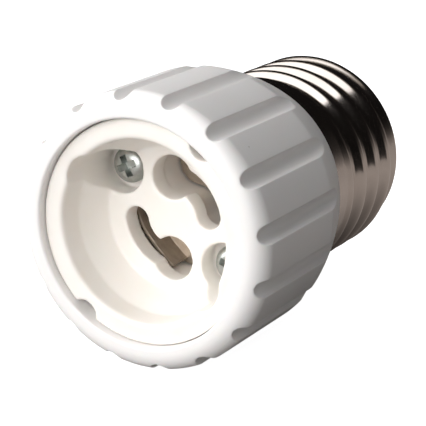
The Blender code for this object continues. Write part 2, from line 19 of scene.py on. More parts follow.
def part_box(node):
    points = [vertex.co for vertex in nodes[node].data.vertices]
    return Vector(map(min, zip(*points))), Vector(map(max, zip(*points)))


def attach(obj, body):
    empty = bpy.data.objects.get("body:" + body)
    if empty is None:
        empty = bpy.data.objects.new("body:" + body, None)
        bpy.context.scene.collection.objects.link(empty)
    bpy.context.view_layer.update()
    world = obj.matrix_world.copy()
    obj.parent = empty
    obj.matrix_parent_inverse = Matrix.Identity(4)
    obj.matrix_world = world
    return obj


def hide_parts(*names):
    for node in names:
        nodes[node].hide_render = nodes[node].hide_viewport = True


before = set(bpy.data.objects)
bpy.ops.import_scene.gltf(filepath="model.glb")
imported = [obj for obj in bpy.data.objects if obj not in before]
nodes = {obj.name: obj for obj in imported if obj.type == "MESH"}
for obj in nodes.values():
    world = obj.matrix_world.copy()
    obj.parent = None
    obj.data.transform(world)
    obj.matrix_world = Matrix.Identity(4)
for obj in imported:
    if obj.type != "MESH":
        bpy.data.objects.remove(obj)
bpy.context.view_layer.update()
print("frame nodes:", len(nodes))

# %% [markdown]
# ## Millimetres, depths and bearings
#
# The adapter lies along +Y with its mouth at -Y. Every piece is easier to draw in a turner's terms: a
# radius, a depth behind the rim of the mouth, and a bearing, clockwise from the top as seen from the mouth.
# One function turns those three into a point of the scene. The main sizes are read from the frame, so the
# surfaces fit the solids.

# %% Units and the adapter's own coordinates
MM = 0.001


def box_mm(node):
    """Lowest and highest corner of a frame node, in millimetres."""
    low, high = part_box(node)
    return low / MM, high / MM


HOUSING_LOW, HOUSING_HIGH = box_mm("housing")
MOUTH = HOUSING_LOW.y
SLEEVE_RADIUS = HOUSING_HIGH.x


def span(node):
    """Radius, front depth and back depth of a frame node, in millimetres."""
    low, high = box_mm(node)
    return high.x, low.y - MOUTH, high.y - MOUTH


CERAMIC_RADIUS, CERAMIC_FRONT, CERAMIC_BACK = span("ceramic_insert")


def place(radius, bearing, depth):
    """The point of the scene at a radius, a bearing in degrees and a depth, all lengths in millimetres."""
    angle = math.radians(bearing)
    return Vector((radius * math.sin(angle), depth + MOUTH, radius * math.cos(angle))) * MM


print("sleeve radius", round(SLEEVE_RADIUS, 2), "mm, mouth at", round(MOUTH, 2), "mm")
print("ceramic from", round(CERAMIC_FRONT, 2), "to", round(CERAMIC_BACK, 2), "mm behind the mouth")

# %% [markdown]
# ## The camera
#
# The photograph looks at the mouth from its right and from above, from about 21 cm away, so the near rim is
# clearly larger than the far end. A camera is placed by that distance and its two angles, and its lens
# follows from the size of the sleeve in the picture.

# %% Camera
CAMERA_PLACE = Vector((98.71, -177.14, 58.40)) * MM
CAMERA_TARGET = Vector((-1.48, -5.07, -2.81)) * MM
CAMERA_LENS = 140.99


def put(name, data):
    """Add an object with this data to the scene."""
    item = bpy.data.objects.new(name, data)
    bpy.context.scene.collection.objects.link(item)
    return item


def aim(item, target):
    """Turn a camera or a lamp, which look along their own -Z, towards a point."""
    item.rotation_euler = (target - item.location).to_track_quat("-Z", "Y").to_euler()


camera_data = bpy.data.cameras.new("camera")
camera_data.lens = CAMERA_LENS
camera_data.sensor_width = 36.0
camera_data.clip_start = 0.01
camera = put("camera", camera_data)
camera.location = CAMERA_PLACE
aim(camera, CAMERA_TARGET)
bpy.context.scene.camera = camera
print("camera distance", round((CAMERA_PLACE - CAMERA_TARGET).length / MM), "mm")

# %% [markdown]
# ## Helpers for materials
#
# Colours are written as the sRGB hex values that one would pick from a picture, and shaders need linear
# light, so one function converts them. A second one adds a node, sets its values and joins its inputs. The
# finishes here also have two steps in common, a tone that wanders between two colours, and the joints for
# colour, roughness and bump at the end, so each of these is a function too.

# %% Colour and node helpers


def linear(code):
    """Linear RGBA of an sRGB hex colour such as #f4f2f0."""
    values = [int(code[i:i + 2], 16) / 255.0 for i in (1, 3, 5)]
    return tuple(v / 12.92 if v <= 0.04045 else ((v + 0.055) / 1.055) ** 2.4 for v in values) + (1.0,)


def add_node(tree, kind, settings=None, links=None):
    """Add a node of a kind such as Mix. A setting is an input or a property; stops are a ramp's colours."""
    node = tree.nodes.new("ShaderNode" + kind)
    for key, value in (settings or {}).items():
        if key == "stops":
            ramp = node.color_ramp
            ramp.elements[0].position, ramp.elements[0].color = value[0]
            ramp.elements[1].position, ramp.elements[1].color = value[-1]
            for spot, colour in value[1:-1]:
                ramp.elements.new(spot).color = colour
        elif isinstance(key, int) or key in node.inputs:
            node.inputs[key].default_value = value
        else:
            setattr(node, key, value)
    for key, socket in (links or {}).items():
        tree.links.new(socket, node.inputs[key])
    return node


# %% Start and finish of a material


def start_material(name, **values):
    """A new material. values go to the Principled shader's own inputs, with _ for a space."""
    material = bpy.data.materials.new(name)
    material.use_nodes = True
    tree = material.node_tree
    shader = tree.nodes["Principled BSDF"]
    for key, value in values.items():
        shader.inputs[key.replace("_", " ")].default_value = value
    here = add_node(tree, "TexCoord").outputs["Object"]
    return material, tree, shader, here


def per_mm(size):
    """Texture scale that gives a pattern features of about this size in millimetres."""
    return 1.0 / (size * MM)


def cloudy_tone(tree, here, colours, patch, detail):
    """A colour that wanders between two in patches of a size in millimetres, and the pattern behind it."""
    cloud = add_node(tree, "TexNoise", {"Scale": per_mm(patch), "Detail": detail}, {"Vector": here})
    fade = cloud.outputs["Fac"]
    light, dark = (linear(colour) for colour in colours)
    tone = add_node(tree, "Mix", {"data_type": "RGBA", 6: light, 7: dark}, {0: fade})
    return tone.outputs[2], fade


def join_finish(tree, shader, colour, relief, gloss=None):
    """Join colour, bump and roughness to the shader. relief is a pattern, its strength and its height. gloss
    is a pattern, the lowest and the highest roughness."""
    pattern, strength, height = relief
    bump = add_node(tree, "Bump", {"Strength": strength, "Distance": height * MM}, {"Height": pattern})
    tree.links.new(colour, shader.inputs["Base Color"])
    tree.links.new(bump.outputs[0], shader.inputs["Normal"])
    if gloss:
        pattern, low, high = gloss
        rough = add_node(tree, "MapRange", {"To Min": low, "To Max": high}, {"Value": pattern})
        tree.links.new(rough.outputs[0], shader.inputs["Roughness"])


# %% [markdown]
# ## White moulded thermoplastic
#
# The housing is a glass-filled polyester, moulded in a spark-eroded steel mould. The eye reads it as clean
# white with a broad soft sheen: the mould's fine grain scatters the gloss, the resin lets a little light in
# under the skin, and a few dark specks of burnt resin sit in it. IOR is 1.57 and roughness about 0.4. The
# mould's real grain is 0.03 mm, which is too fine for the picture, so it is drawn at 0.2 mm.

# %% Housing material
PLASTIC_TONES = ("#f3f1f0", "#eeebe9")
PLASTIC_PATCH = 7.0
MOULD_GRAIN = 0.2
SPECK = "#b3a89d"
SPECK_SPACING = 4.0
# Radius of a speck as a share of the spacing
SPECK_SHARE = 0.02


def moulded_plastic():
    """White polyester with a faint cloudiness, rare specks and the mould's grain."""
    material, tree, shader, here = start_material(
        "white_moulded_polyester", IOR=1.57, Subsurface_Weight=0.06, Subsurface_Scale=0.6 * MM
    )
    tone, _ = cloudy_tone(tree, here, PLASTIC_TONES, PLASTIC_PATCH, 3.0)
    cells = add_node(tree, "TexVoronoi", {"Scale": per_mm(SPECK_SPACING)}, {"Vector": here})
    limit = {"operation": "LESS_THAN", 1: SPECK_SHARE}
    speck = add_node(tree, "Math", limit, {0: cells.outputs["Distance"]}).outputs[0]
    coloured = add_node(tree, "Mix", {"data_type": "RGBA", 7: linear(SPECK)}, {0: speck, 6: tone})
    grain = add_node(tree, "TexNoise", {"Scale": per_mm(MOULD_GRAIN), "Detail": 2.0}, {"Vector": here})
    relief = grain.outputs["Fac"]
    join_finish(tree, shader, coloured.outputs[2], (relief, 0.12, 0.02), (relief, 0.36, 0.46))
    return material


PLASTIC = moulded_plastic()
print("material:", PLASTIC.name)

# %% [markdown]
# ## Steatite
#
# The insert is steatite, a dense electrical ceramic, pressed from powder and fired without glaze. It is a
# warm white that looks beige where it lights itself, with soft edges from the press tool, a matt to satin
# skin and a faint grain. IOR is about 1.6 and roughness 0.5.

# %% Ceramic material
STEATITE_TONES = ("#f6f3ef", "#f1eae1")
STEATITE_PATCH = 4.0
PRESS_GRAIN = 0.25


def fired_steatite():
    """Warm white ceramic with the grain of pressed powder."""
    material, tree, shader, here = start_material(
        "pressed_steatite", IOR=1.6, Subsurface_Weight=0.05, Subsurface_Scale=0.5 * MM
    )
    tone, _ = cloudy_tone(tree, here, STEATITE_TONES, STEATITE_PATCH, 4.0)
    grain = add_node(tree, "TexNoise", {"Scale": per_mm(PRESS_GRAIN), "Detail": 3.0}, {"Vector": here})
    relief = grain.outputs["Fac"]
    join_finish(tree, shader, tone, (relief, 0.15, 0.03), (relief, 0.42, 0.6))
    return material


STEATITE = fired_steatite()
print("material:", STEATITE.name)

# %% [markdown]
# ## Nickel-plated brass
#
# The screw cap is rolled from thin brass sheet and nickel plated. It mirrors the studio almost cleanly, and
# the rolling leaves fine lines round it, which draw the edges of each reflection out into streaks. The real
# lines are some hundredths of a millimetre apart, so they are drawn at 0.12 mm. A metal keeps the default
# IOR. Roughness is about 0.15.

# %% Cap material
NICKEL_TONES = ("#d9d2cc", "#c0b6af")
NICKEL_STAIN = 5.0
ROLLING_LINE = 0.12
ROLLING_RUN = 9.0


def rolled_nickel():
    """Bright nickel with rolling lines round the axis and faint stains."""
    material, tree, shader, here = start_material("nickel_plated_brass", Metallic=1.0)
    tone, stain = cloudy_tone(tree, here, NICKEL_TONES, NICKEL_STAIN, 4.0)
    along, across = per_mm(ROLLING_RUN), per_mm(ROLLING_LINE)
    stretch = {"operation": "MULTIPLY", 1: (along, across, along)}
    drawn_out = add_node(tree, "VectorMath", stretch, {0: here}).outputs[0]
    lines = add_node(tree, "TexNoise", {"Scale": 1.0, "Detail": 2.0}, {"Vector": drawn_out})
    join_finish(tree, shader, tone, (lines.outputs["Fac"], 0.1, 0.01), (stain, 0.1, 0.2))
    return material


NICKEL_PLATE = rolled_nickel()
print("material:", NICKEL_PLATE.name)

# %% [markdown]
# ## The small metals
#
# Four more metals show in small places. The mounting screws are zinc plated and passivated. The contact
# clips are nickel-plated bronze, gone brown and uneven, because their plating is thin. The leaf springs are
# stainless strip, drawn through rollers. The solder is a bright tin alloy with a slightly frosted skin. One
# function makes them, from two colours, a range of roughness and the size of the unevenness in millimetres.

# %% Small metals


def patchy_finish(name, colours, gloss_range, patch, detail, relief, **values):
    """A finish whose colour, roughness and bump follow one pattern. relief is its strength and height."""
    material, tree, shader, here = start_material(name, **values)
    tone, fade = cloudy_tone(tree, here, colours, patch, detail)
    join_finish(tree, shader, tone, (fade, *relief), (fade, *gloss_range))
    return material


ZINC_PLATE = patchy_finish(
    "zinc_plated_steel", ("#d3d6d3", "#a4a9a5"), (0.22, 0.5), 0.5, 5.0, (0.4, 0.06), Metallic=1.0)
CLIP_BRONZE = patchy_finish(
    "tarnished_nickel_bronze", ("#c6b9aa", "#998b7c"), (0.4, 0.55), 1.0, 5.0, (0.4, 0.05), Metallic=0.8)
SPRING_STEEL = patchy_finish(
    "stainless_spring_strip", ("#d2cdc6", "#b5afa7"), (0.2, 0.35), 0.8, 5.0, (0.4, 0.02), Metallic=1.0)
TIN_SOLDER = patchy_finish(
    "bright_tin_solder", ("#cdced0", "#a4a6a8"), (0.2, 0.42), 0.5, 5.0, (0.4, 0.06), Metallic=1.0)
print("small metals: 4")

# %% [markdown]
# ## Board, thermoset and silicone
#
# The backing plate is glass-fibre board, a brown resin laminate whose weave just shows. The coarse glass
# cloth of such board has a yarn every 0.6 to 0.8 mm, so the weave is drawn at 0.79 mm. The tip insulator is
# black phenolic, moulded glossy. The leads wear silicone rubber, matt and slightly dusty, with tinned ends.
# The last three differ from the small metals only in being no metals, so they use the same function.

# %% Insulating materials
BOARD_LIGHT = "#74624f"
BOARD_DARK = "#56483a"
YARN = 0.79
# The wave texture runs through 20 radians in each unit of its scale
WAVE_SCALE = per_mm(YARN) * 2.0 * math.pi / 20.0


def glass_fibre_board():
    """Brown laminate with a faint plain weave."""
    material, tree, shader, here = start_material("glass_fibre_board", Roughness=0.6, IOR=1.55)
    yarns = {}
    for number, direction in enumerate("XZ"):
        settings = {"Scale": WAVE_SCALE, "bands_direction": direction}
        yarns[number] = add_node(tree, "TexWave", settings, {"Vector": here}).outputs["Fac"]
    weave = add_node(tree, "Math", {"operation": "MULTIPLY"}, yarns).outputs[0]
    dark, light = linear(BOARD_DARK), linear(BOARD_LIGHT)
    tone = add_node(tree, "Mix", {"data_type": "RGBA", 6: dark, 7: light}, {0: weave})
    join_finish(tree, shader, tone.outputs[2], (weave, 0.3, 0.03))
    return material


BOARD = glass_fibre_board()
PHENOLIC = patchy_finish(
    "black_phenolic", ("#1d1b1a", "#141312"), (0.2, 0.32), 0.8, 4.0, (0.2, 0.02), IOR=1.6)
SILICONE_BROWN = patchy_finish(
    "brown_silicone_rubber", ("#5b3524", "#4c2a1c"), (0.5, 0.65), 0.5, 4.0, (0.2, 0.02), IOR=1.43)
SILICONE_BLUE = patchy_finish(
    "blue_silicone_rubber", ("#2c5aa8", "#244b8e"), (0.5, 0.65), 0.5, 4.0, (0.2, 0.02), IOR=1.43)
print("insulators: 4")

# %% [markdown]
# ## Turned pieces
#
# Most of the adapter is turned or moulded round one axis. A turned piece is a closed profile of radii and
# depths, swept through a list of bearings. Blender's Screw modifier could do it, but the flutes and the
# thread change the radius with the bearing, so the grid of points is computed here, with an optional
# function that gives each radius.

# %% A mesh becomes a piece
SHARP_ANGLE = 35.0


def make_piece(name, mesh, finish, replaced):
    """Put a mesh into the scene as a piece of the adapter, which stands for a node of the frame."""
    mesh.materials.clear()
    mesh.materials.append(finish)
    mesh.shade_smooth()
    mesh.set_sharp_from_angle(angle=math.radians(SHARP_ANGLE))
    piece = put(name, mesh)
    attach(piece, "root")
    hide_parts(replaced)
    return piece


# %% Turned meshes


def turned_mesh(name, profile, bearings, radius_at=None, centre=(0.0, 0.0)):
    """A closed profile of (radius, depth) points, swept through bearings about a line at centre, which is a
    radius and a bearing. radius_at(radius, depth, bearing) may change a radius."""
    shift = place(*centre, -MOUTH)
    points, rings = [], []
    for radius, depth in profile:
        if radius == 0.0:
            points.append(place(0.0, 0.0, depth) + shift)
            rings.append([len(points) - 1] * len(bearings))
            continue
        first = len(points)
        for bearing in bearings:
            reach = radius_at(radius, depth, bearing) if radius_at else radius
            points.append(place(reach, bearing, depth) + shift)
        rings.append(list(range(first, len(points))))
    faces = []
    for ring, following in zip(rings, rings[1:] + rings[:1]):
        for here, there in zip(range(len(bearings)), [*range(1, len(bearings)), 0]):
            corners = dict.fromkeys((ring[here], ring[there], following[there], following[here]))
            if len(corners) > 2:
                faces.append(tuple(corners))
    mesh = bpy.data.meshes.new(name)
    mesh.from_pydata(points, [], faces)
    form = bmesh.new()
    form.from_mesh(mesh)
    bmesh.ops.recalc_face_normals(form, faces=form.faces)
    form.to_mesh(mesh)
    form.free()
    return mesh


# %% Profiles and bearings


def arc(centre, radius, start, end, steps):
    """Points (radius, depth) on an arc about a centre. 0 degrees points outward, 90 to greater depth."""
    across, along = radius if isinstance(radius, tuple) else (radius, radius)
    turns = [math.radians(start + (end - start) * step / steps) for step in range(steps + 1)]
    return [(centre[0] + across * math.cos(turn), centre[1] + along * math.sin(turn)) for turn in turns]


def even_bearings(count):
    """Bearings spread evenly round the axis."""
    return [360.0 * step / count for step in range(count)]


def spaced(start, end, count):
    """Numbers from start towards end, without the end."""
    return [start + (end - start) * step / count for step in range(count)]


# %% [markdown]
# ## The fluted housing
#
# The sleeve is a plain turned form with sixteen flutes cut along it by a round tool, so each flute has a
# round bottom and softly broken edges. It could be cut with Booleans and bevelled, but a bevel fails where
# a flute runs out in the rim. In each section, though, flute and edge are just two arcs that touch, so the
# radius can be worked out at any bearing, and it fades out by itself where the rim or the shoulder falls
# below the flute's bottom.

# %% Sizes of the flutes
FLUTES = 16
FLUTE_BEARING = 14.3
FLUTE_RADIUS = 1.2
FLUTE_DEPTH = 1.0
FLUTE_EDGE = 0.12
FLUTE_CENTRE = SLEEVE_RADIUS - FLUTE_DEPTH + FLUTE_RADIUS


def flute_angles(land_radius):
    """Half angles, in degrees, at which a flute ends and the land begins, with its broken edge between."""
    edge_circle = land_radius - FLUTE_EDGE
    reach = FLUTE_RADIUS + FLUTE_EDGE
    if edge_circle + reach <= FLUTE_CENTRE:
        return 0.0, 0.0
    cosine = (edge_circle ** 2 + FLUTE_CENTRE ** 2 - reach ** 2) / (2.0 * edge_circle * FLUTE_CENTRE)
    land = math.acos(min(cosine, 1.0))
    share = FLUTE_RADIUS / reach
    across = share * edge_circle * math.sin(land)
    along = FLUTE_CENTRE + share * (edge_circle * math.cos(land) - FLUTE_CENTRE)
    return math.degrees(math.atan2(across, along)), math.degrees(land)


print("flute and land half angles:", [round(angle, 2) for angle in flute_angles(SLEEVE_RADIUS)])

# %% The fluted surface


def fluted_radius(radius, depth, bearing):
    """Radius of the fluted surface, where the unfluted surface has the given radius."""
    spacing = 360.0 / FLUTES
    offset = abs((bearing - FLUTE_BEARING + spacing / 2) % spacing - spacing / 2)
    flute_end, land_start = flute_angles(radius)
    angle = math.radians(offset)
    if offset >= land_start:
        return radius
    if offset > flute_end:
        edge_circle = radius - FLUTE_EDGE
        swing = math.radians(land_start) - angle
        across = edge_circle * math.sin(swing)
        return edge_circle * math.cos(swing) + math.sqrt(FLUTE_EDGE ** 2 - across ** 2)
    across = FLUTE_CENTRE * math.sin(angle)
    return FLUTE_CENTRE * math.cos(angle) - math.sqrt(FLUTE_RADIUS ** 2 - across ** 2)


def flute_bearings():
    """Bearings round the housing, close together in the flutes and on their edges and wider on the lands."""
    flute_end, land_start = flute_angles(SLEEVE_RADIUS)
    land_middle = 180.0 / FLUTES
    half = spaced(0.0, flute_end, 9) + spaced(flute_end, land_start, 6) + spaced(land_start, land_middle, 6)
    offsets = [-value for value in [*half, land_middle][:0:-1]] + half
    return [FLUTE_BEARING + 360.0 * k / FLUTES + offset for k in range(FLUTES) for offset in offsets]


housing_bearings = flute_bearings()
print("columns round the housing:", len(housing_bearings))

# %% [markdown]
# The outer skin's rows follow the rim's rounding, the sleeve and the tapered shoulder. The inner skin is
# plain, so it has few rows. The two screw bosses, their pilot holes and the slot for a lead are then joined
# and cut with Booleans, as on the frame's solid.

# %% Sizes of the housing
SLEEVE_WALL = 3.05
SLEEVE_LENGTH = 16.9
TAPER_CROWN = 0.25
SHOULDER_RADIUS = 13.6
SHOULDER_DEPTH = -MOUTH
SHOULDER_ROUND = 0.3
RIM_ROUND = 2.2
BORE_EDGE = 0.35
CREASE = 0.5
BORE_RADIUS = SLEEVE_RADIUS - SLEEVE_WALL
LEDGE_DEPTH = CERAMIC_BACK + 0.3
CAVITY_RADIUS = 11.2
CAVITY_END = LEDGE_DEPTH + 6.2
NECK_RADIUS = 11.5
NECK_BORE_RADIUS = 9.5
NECK_END = HOUSING_HIGH.y - MOUTH
CAP_SEAT_RADIUS = 12.8
CAP_SEAT = SHOULDER_DEPTH - 0.6
SCREW_BEARING = 125.7
SCREW_PITCH_RADIUS = 8.74
BOSS_RADIUS = 3.3
BOSS_START = 17.6
PILOT_RADIUS = 1.7
PILOT_END = 22.1
SLOT_BEARING = 216.0
SLOT_WIDTH = 2.4
print("bore", round(2.0 * BORE_RADIUS, 2), "mm, neck", 2.0 * NECK_RADIUS, "mm across")

# %% Profile of the housing


def outer_rows():
    """Profile of the outer skin from the rim to the seat of the cap."""
    rows = arc((BORE_RADIUS + BORE_EDGE, BORE_EDGE), BORE_EDGE, 180.0, 270.0, 8)
    rows += arc((SLEEVE_RADIUS - RIM_ROUND, RIM_ROUND), RIM_ROUND, -90.0, 0.0, 20)
    rows += [(SLEEVE_RADIUS, depth) for depth in spaced(RIM_ROUND, SLEEVE_LENGTH - CREASE, 10)[1:]]
    taper_length = SHOULDER_DEPTH - SLEEVE_LENGTH
    first_slope = (SHOULDER_RADIUS - SLEEVE_RADIUS + 4.0 * TAPER_CROWN) / taper_length
    for depth in spaced(SLEEVE_LENGTH - CREASE, SLEEVE_LENGTH + CREASE, 7):
        over = (depth - SLEEVE_LENGTH + CREASE) / (2.0 * CREASE)
        rows.append((SLEEVE_RADIUS + first_slope * CREASE * over * over, depth))
    for depth in spaced(SLEEVE_LENGTH + CREASE, SHOULDER_DEPTH - SHOULDER_ROUND, 26):
        share = (depth - SLEEVE_LENGTH) / taper_length
        crown = 4.0 * TAPER_CROWN * share * (1.0 - share)
        rows.append((SLEEVE_RADIUS + (SHOULDER_RADIUS - SLEEVE_RADIUS) * share + crown, depth))
    shoulder_centre = (SHOULDER_RADIUS - SHOULDER_ROUND, SHOULDER_DEPTH - SHOULDER_ROUND)
    rows += arc(shoulder_centre, SHOULDER_ROUND, 20.0, 90.0, 4)
    return rows


def inner_rows():
    """Profile of the seat, the neck and the hollow inside, back to the bore."""
    throat_end = CAVITY_END + CAVITY_RADIUS - NECK_BORE_RADIUS
    return [
        (CAP_SEAT_RADIUS, SHOULDER_DEPTH), (CAP_SEAT_RADIUS, CAP_SEAT), (NECK_RADIUS, CAP_SEAT),
        (NECK_RADIUS, NECK_END), (NECK_BORE_RADIUS, NECK_END), (NECK_BORE_RADIUS, throat_end),
        (CAVITY_RADIUS, CAVITY_END), (CAVITY_RADIUS, LEDGE_DEPTH), (BORE_RADIUS, LEDGE_DEPTH),
    ]


skin = turned_mesh("housing_skin", outer_rows() + inner_rows(), housing_bearings, fluted_radius)
print("faces of the skin:", len(skin.polygons))

# %% Tools for Booleans
# How far a tool reaches into what it joins, and how far a cutter runs past the face that it cuts
OVERLAP = 0.5
OVERCUT = 1.0


def applied(target, *helpers):
    """The mesh of an object with its modifiers applied. The object and its helpers are removed."""
    view = bpy.context.evaluated_depsgraph_get()
    mesh = bpy.data.meshes.new_from_object(target.evaluated_get(view))
    for item in (target, *helpers):
        bpy.data.objects.remove(item)
    return mesh


def combine(mesh, operation, tools):
    """The mesh after a Boolean with several tool meshes."""
    target = put("target", mesh)
    helpers = [put("tool", tool) for tool in tools]
    for helper in helpers:
        step = target.modifiers.new("step", "BOOLEAN")
        step.operation = operation
        step.object = helper
    return applied(target, *helpers)


def cylinder_mesh(name, radius, centre, low, high, segments=48):
    """A cylinder between two depths, about a line at centre."""
    profile = [(0.0, low), (radius, low), (radius, high), (0.0, high)]
    return turned_mesh(name, profile, even_bearings(segments), centre=centre)


def moved_mesh(name, form, radius, bearing, depth, shape):
    """The mesh of a bmesh form, shaped by a matrix and then moved to a radius, a bearing and a depth."""
    spot = Matrix.Translation(place(radius, bearing, depth))
    bmesh.ops.transform(form, matrix=spot @ shape, verts=form.verts)
    mesh = bpy.data.meshes.new(name)
    form.to_mesh(mesh)
    form.free()
    return mesh


def bar_mesh(name, radius, bearing, size, depth):
    """A box on a bearing: size is (along the radius, across it, along the axis)."""
    form = bmesh.new()
    bmesh.ops.create_cube(form, size=1.0)
    turn = Matrix.Rotation(math.radians(bearing), 4, "Y")
    stretch = Matrix.Diagonal((size[1] * MM, size[2] * MM, size[0] * MM, 1.0))
    return moved_mesh(name, form, radius, bearing, depth, turn @ stretch)


# %% Build the housing
screw_spots = [(SCREW_PITCH_RADIUS, SCREW_BEARING + turn) for turn in (0.0, 180.0)]
bosses = [cylinder_mesh("boss", BOSS_RADIUS, spot, BOSS_START, CAVITY_END + OVERLAP) for spot in screw_spots]
skin = combine(skin, "UNION", bosses)
pilots = [cylinder_mesh("pilot", PILOT_RADIUS, spot, BOSS_START - OVERCUT, PILOT_END) for spot in screw_spots]
slot_size = (NECK_RADIUS - NECK_BORE_RADIUS + OVERCUT, SLOT_WIDTH, SLOT_WIDTH + OVERCUT)
slot_middle = (NECK_RADIUS + NECK_BORE_RADIUS) / 2
lead_slot = bar_mesh("lead_slot", slot_middle, SLOT_BEARING, slot_size, NECK_END + (OVERCUT - SLOT_WIDTH) / 2)
skin = combine(skin, "DIFFERENCE", [*pilots, lead_slot])
housing = make_piece("fluted_housing", skin, PLASTIC, "housing")
print("housing faces:", len(housing.data.polygons))

# %% [markdown]
# ## The ceramic insert
#
# A pressed ceramic has no sharp edge anywhere. The block, its dished cup, keyholes, chambers, wells and
# notches are cut with Booleans, as on the frame. Then a voxel remesh turns the result into an even net, and
# a short smoothing rounds every edge by the same small radius, which no bevel could do where the wells
# break through the cup's wall. The frame keeps 0.3 mm between the block and the bore, which would show as a
# dark ring, so the block fills most of that here.

# %% Sizes of the ceramic
CERAMIC_EDGE = 0.5
CERAMIC_OUTER_EDGE = 0.25
SNUG_RADIUS = CERAMIC_RADIUS + 0.2
CUP_RADIUS = CERAMIC_RADIUS - 2.3
CUP_DRAFT = 0.15
CUP_BAND_WIDTH = 1.95
CUP_BAND_HEIGHT = 3.6
CHAMBER_DEPTH = CERAMIC_BACK - 5.5
CUP_FLOOR_DEPTH = CHAMBER_DEPTH - 2.7
PIN_PITCH_RADIUS = 5.0
ENTRY_RADIUS = 2.68
SLOT_HALF_WIDTH = 1.58
CHAMBER_RADIUS = 5.21
CHAMBER_HALF_WIDTH = 2.89
TWIST_ANGLE = 79.5
CHAMBER_ANGLE = 72.0
WELL_RADIUS = 3.1
SCREW_SEAT = CERAMIC_BACK - 5.0
NOTCH_RADIUS = 1.8
NOTCH_DEPTH = 0.95
NOTCH_BEARING = 36.0
VOXEL = 0.19
SMOOTHING = 5
print("cup", round(2.0 * CUP_RADIUS, 2), "mm across,", round(CUP_FLOOR_DEPTH - CERAMIC_FRONT, 2), "mm deep")

# %% Curved slots and softened edges
SLOT_STEPS = 40


def curved_slot_mesh(name, middle, half_width, start, end, low, high):
    """A slot with round ends that bends round the axis, between two bearings and two depths."""
    def rim(radius, first, last):
        bearings = [first + (last - first) * step / SLOT_STEPS for step in range(SLOT_STEPS + 1)]
        return [radius * Vector((math.sin(angle), math.cos(angle))) for angle in map(math.radians, bearings)]

    def cap(bearing, first):
        centre = rim(middle, bearing, bearing)[0]
        turns = [math.radians(first + 180.0 * step / SLOT_STEPS) for step in range(1, SLOT_STEPS)]
        return [centre + half_width * Vector((math.sin(turn), math.cos(turn))) for turn in turns]

    outline = rim(middle + half_width, start, end) + cap(end, end)
    outline += rim(middle - half_width, end, start) + cap(start, start + 180.0)
    count = len(outline)
    points = [Vector((p.x, depth + MOUTH, p.y)) * MM for depth in (low, high) for p in outline]
    sides = [(i, (i + 1) % count, (i + 1) % count + count, i + count) for i in range(count)]
    mesh = bpy.data.meshes.new(name)
    mesh.from_pydata(points, [], sides + [tuple(range(count))[::-1], tuple(range(count, 2 * count))])
    return mesh


def softened(mesh, voxel, rounds):
    """An even net over a mesh, smoothed so that its edges turn round."""
    helper = put("helper", mesh)
    net = helper.modifiers.new("net", "REMESH")
    net.mode = "VOXEL"
    net.voxel_size = voxel * MM
    smooth = helper.modifiers.new("smooth", "SMOOTH")
    smooth.factor = 0.5
    smooth.iterations = rounds
    return applied(helper)


# %% Profile of the ceramic block
wall_foot = CUP_RADIUS - CUP_DRAFT
block_profile = [(0.0, CUP_FLOOR_DEPTH), (wall_foot - CUP_BAND_WIDTH, CUP_FLOOR_DEPTH)]
block_profile += [(wall_foot, CUP_FLOOR_DEPTH - CUP_BAND_HEIGHT)]
block_profile += arc((CUP_RADIUS + CERAMIC_EDGE, CERAMIC_FRONT + CERAMIC_EDGE), CERAMIC_EDGE, 180.0, 270.0, 6)
outer_edge = (SNUG_RADIUS - CERAMIC_OUTER_EDGE, CERAMIC_FRONT + CERAMIC_OUTER_EDGE)
block_profile += arc(outer_edge, CERAMIC_OUTER_EDGE, -90.0, 0.0, 6)
block_profile += [(SNUG_RADIUS, CERAMIC_BACK), (0.0, CERAMIC_BACK)]
block = turned_mesh("ceramic_block", block_profile, even_bearings(160))

# %% Cut and soften the ceramic
ABOVE_FLOOR = CUP_FLOOR_DEPTH - OVERCUT
IN_CHAMBER = CHAMBER_DEPTH + OVERLAP
BEHIND = CERAMIC_BACK + OVERCUT
cuts = []
for turn in (0.0, 180.0):
    entry = (PIN_PITCH_RADIUS, turn)
    well = (SCREW_PITCH_RADIUS, SCREW_BEARING + turn)
    notch = (CERAMIC_RADIUS - NOTCH_DEPTH + NOTCH_RADIUS, NOTCH_BEARING + turn)
    twist = (PIN_PITCH_RADIUS, SLOT_HALF_WIDTH, turn, turn + TWIST_ANGLE)
    chamber = (CHAMBER_RADIUS, CHAMBER_HALF_WIDTH, turn, turn + CHAMBER_ANGLE)
    cuts += [
        cylinder_mesh("entry", ENTRY_RADIUS, entry, ABOVE_FLOOR, IN_CHAMBER, 64),
        cylinder_mesh("well", WELL_RADIUS, well, 0.0, SCREW_SEAT, 64),
        cylinder_mesh("notch", NOTCH_RADIUS, notch, 0.0, BEHIND),
        curved_slot_mesh("twist", *twist, ABOVE_FLOOR, IN_CHAMBER),
        cylinder_mesh("screw_hole", PILOT_RADIUS, well, SCREW_SEAT - OVERCUT, BEHIND),
        curved_slot_mesh("chamber", *chamber, CHAMBER_DEPTH, BEHIND),
    ]
block = softened(combine(block, "DIFFERENCE", cuts), VOXEL, SMOOTHING)
ceramic = make_piece("pressed_ceramic", block, STEATITE, "ceramic_insert")
print("ceramic faces:", len(ceramic.data.polygons))

# %% [markdown]
# ## The rolled screw cap
#
# The cap is thin sheet rolled between two threaded rolls, so crest and root are both round and the sheet
# keeps its thickness. The frame's solid has a coarse thread. The same helix is drawn here with a fine grid:
# the radius is a wave along the depth that shifts by one pitch a turn. It fades in from the plain stretch,
# the crests more slowly than the grooves, and its last groove is shallower.

# %% Sizes of the cap and its thread
_, CAP_START, CAP_END = span("screw_cap")
CREST_RADIUS = 13.1
ROOT_RADIUS = 12.15
PLAIN_RADIUS = 12.7
PITCH = 3.62
